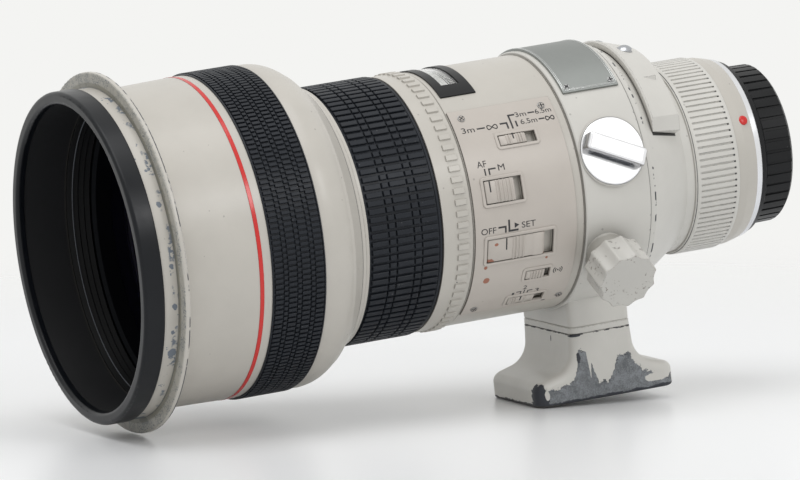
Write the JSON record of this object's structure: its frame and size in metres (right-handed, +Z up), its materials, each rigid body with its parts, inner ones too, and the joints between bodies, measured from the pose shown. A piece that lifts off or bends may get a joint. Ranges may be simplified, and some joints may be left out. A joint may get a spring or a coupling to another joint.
{
  "type": "telephoto lens",
  "caption": "Long telephoto lens with ribbed grips, switch panel, rotating tripod collar with foot, drop-in filter drawer and rear cap.",
  "frame": {"origin": "on the optical axis, at the seating face of the camera bayonet", "axes": "+X along the optical axis toward the camera, -X toward the subject, +Z up, the tripod foot toward -Z, the switch panel toward -Y"},
  "size_m": [0.2676, 0.128, 0.1424],
  "materials": {
    "cream_paint": "satin",
    "collar_paint": "satin",
    "red_paint": "gloss",
    "black_rubber": "matte",
    "black_plastic": "matte",
    "cream_plastic": "satin",
    "black_metal": "anodised",
    "coated_glass": "polished",
    "bright_steel": "satin",
    "chrome_metal": "polished",
    "frosted_plate": "frosted",
    "gold_contact": "polished"
  },
  "bodies": {
    "barrel": {"hood_flange_ring": "cream_paint", "front_barrel": "cream_paint", "shoulder_casing": "cream_paint", "main_barrel": "cream_paint", "switch_panel": "cream_paint", "rear_barrel": "cream_paint", "ribbed_rear_ring": "cream_paint", "mount_cover_ring": "cream_paint", "red_stripe_ring": "red_paint", "index_dot": "red_paint", "front_rubber_ring": "black_rubber", "front_grip_rubber": "black_rubber", "front_light_trap": "black_plastic", "contact_block": "black_plastic", "window_frame": "black_plastic", "circuit_board": "black_plastic", "front_retaining_ring": "black_metal", "main_tube": "black_metal", "rear_lens_cell": "black_metal", "iris_housing": "black_metal", "front_glass": "coated_glass", "second_glass": "coated_glass", "rear_glass": "coated_glass", "window_glass": "coated_glass", "panel_screws": "bright_steel", "mount_screws": "bright_steel", "motor_stator": "bright_steel", "bayonet_mount": "chrome_metal", "contact_pins": "gold_contact"},
    "focus_ring": {"focus_ring_sleeve": "cream_paint", "focus_ring_rubber": "black_rubber"},
    "playback_ring": {"playback_ring": "cream_paint"},
    "tripod_collar": {"collar_ring": "collar_paint", "tripod_foot": "collar_paint", "foot_screws": "bright_steel", "name_plate": "frosted_plate", "plate_screws": "bright_steel", "strap_lug_left": "chrome_metal", "strap_lug_right": "chrome_metal"},
    "lock_knob": {"lock_knob": "collar_paint"},
    "limiter_switch": {"limiter_slider": "cream_plastic"},
    "focus_mode_switch": {"focus_mode_slider": "cream_plastic"},
    "preset_switch": {"preset_slider": "cream_plastic"},
    "sound_switch": {"sound_slider": "cream_plastic"},
    "speed_switch": {"speed_slider": "cream_plastic"},
    "filter_drawer": {"filter_holder": "collar_paint", "filter_ring": "black_metal", "filter_glass": "coated_glass"},
    "filter_button_left": {"filter_button_left": "chrome_metal"},
    "filter_button_right": {"filter_button_right": "chrome_metal"},
    "rear_cap": {"rear_cap": "black_plastic"},
    "focus_carriage": {"focus_cell": "black_metal", "focus_glass": "coated_glass"},
    "distance_drum": {"distance_scale": "black_plastic"},
    "motor_rotor": {"motor_rotor": "bright_steel"}
  },
  "joints": [
    {"name": "focus_ring_turn", "type": "hinge", "parent": "barrel", "child": "focus_ring", "pos_m": [-0.148, 0, 0], "axis": [1, 0, 0], "continuous": true},
    {"name": "playback_ring_turn", "type": "hinge", "parent": "barrel", "child": "playback_ring", "pos_m": [-0.1273, 0, 0], "axis": [1, 0, 0], "range_deg": [-8, 8], "stiffness_Nm_per_rad": 0.4},
    {"name": "collar_turn", "type": "hinge", "parent": "barrel", "child": "tripod_collar", "pos_m": [-0.06475, 0, 0], "axis": [1, 0, 0], "continuous": true},
    {"name": "lock_knob_turn", "type": "hinge", "parent": "tripod_collar", "child": "lock_knob", "pos_m": [-0.06975, 0, 0], "axis": [0, -0.8746, -0.4848], "range_deg": [-180, 360]},
    {"name": "limiter_slide", "type": "slide", "parent": "barrel", "child": "limiter_switch", "axis": [1, 0, 0], "range_m": [0, 0.0036]},
    {"name": "focus_mode_slide", "type": "slide", "parent": "barrel", "child": "focus_mode_switch", "axis": [1, 0, 0], "range_m": [0, 0.0026]},
    {"name": "preset_slide", "type": "slide", "parent": "barrel", "child": "preset_switch", "axis": [1, 0, 0], "range_m": [0, 0.0034]},
    {"name": "sound_slide", "type": "slide", "parent": "barrel", "child": "sound_switch", "axis": [1, 0, 0], "range_m": [0, 0.0018]},
    {"name": "speed_slide", "type": "slide", "parent": "barrel", "child": "speed_switch", "axis": [1, 0, 0], "range_m": [0, 0.0034]},
    {"name": "filter_drawer_lift", "type": "slide", "parent": "barrel", "child": "filter_drawer", "axis": [0, 0, 1], "range_m": [0, 0.112]},
    {"name": "filter_button_left_press", "type": "slide", "parent": "filter_drawer", "child": "filter_button_left", "axis": [0, 0.2588, -0.9659], "range_m": [0, 0.0008], "stiffness_N_per_m": 300},
    {"name": "filter_button_right_press", "type": "slide", "parent": "filter_drawer", "child": "filter_button_right", "axis": [0, -0.2588, -0.9659], "range_m": [0, 0.0008], "stiffness_N_per_m": 300},
    {"name": "rear_cap_pull", "type": "slide", "parent": "barrel", "child": "rear_cap", "axis": [1, 0, 0], "range_m": [0, 0.04]},
    {"name": "focus_carriage_travel", "type": "slide", "parent": "barrel", "child": "focus_carriage", "axis": [1, 0, 0], "range_m": [-0.01, 0.004]},
    {"name": "distance_drum_turn", "type": "hinge", "parent": "barrel", "child": "distance_drum", "pos_m": [-0.1126, 0, 0], "axis": [1, 0, 0], "range_deg": [-112, 48]},
    {"name": "motor_rotor_turn", "type": "hinge", "parent": "barrel", "child": "motor_rotor", "pos_m": [-0.0911, 0, 0], "axis": [1, 0, 0], "range_deg": [-140, 58]}
  ],
  "couplings": [
    {"joint": "distance_drum_turn", "follows": "focus_carriage_travel", "rad_per_m": 190},
    {"joint": "motor_rotor_turn", "follows": "focus_carriage_travel", "rad_per_m": 240}
  ]
}
